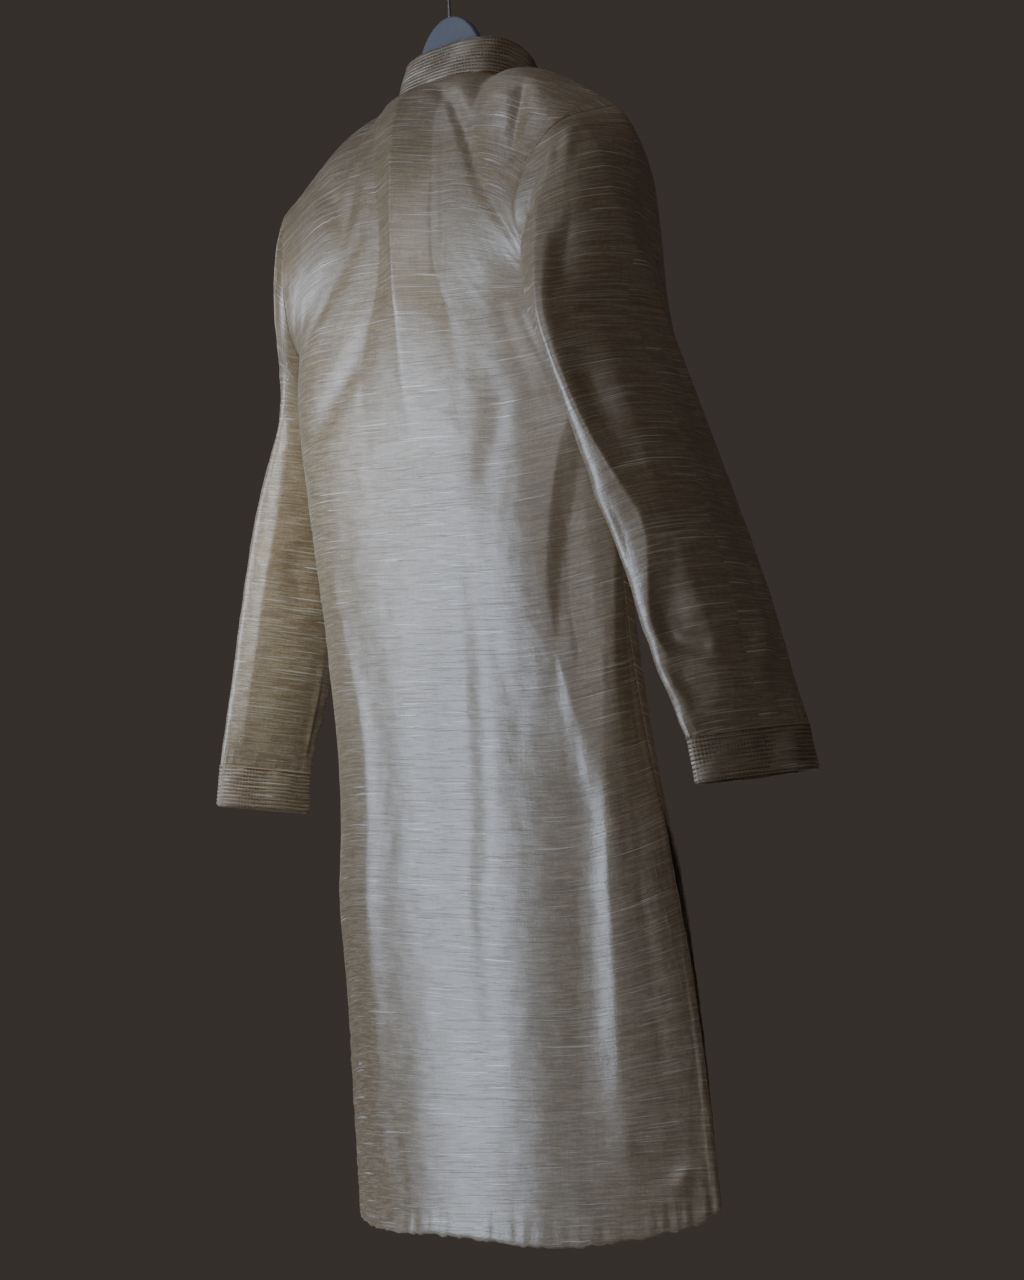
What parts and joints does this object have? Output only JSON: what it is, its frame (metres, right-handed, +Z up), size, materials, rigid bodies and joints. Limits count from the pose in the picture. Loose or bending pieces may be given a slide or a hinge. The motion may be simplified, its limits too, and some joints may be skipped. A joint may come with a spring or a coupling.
{
  "type": "kurta tunic on a clothes hanger",
  "caption": "Long straight kurta tunic with band collar, long cuffed sleeves and side slits, hanging hollow on a domed board hanger with a wire hook.",
  "frame": {"origin": "inside top of the hanger's hook, where a rod carries it", "axes": "+Z up, the wearer would face -Y, the wearer's left hand is on +X"},
  "size_m": [0.67, 0.2163, 1.2394],
  "materials": {
    "ivory_silk": "slubbed raw silk with a soft satin sheen",
    "button_shell": "gloss",
    "hanger_plastic": "satin",
    "hook_steel": "polished"
  },
  "bodies": {
    "root": {"back": "ivory_silk", "front": "ivory_silk", "sleeve_left": "ivory_silk", "sleeve_right": "ivory_silk", "cuff_left": "ivory_silk", "cuff_right": "ivory_silk", "collar": "ivory_silk", "placket": "ivory_silk", "button_1": "button_shell", "button_2": "button_shell", "button_3": "button_shell", "button_4": "button_shell", "hanger_board": "hanger_plastic", "hanger_hook": "hook_steel"}
  },
  "joints": []
}
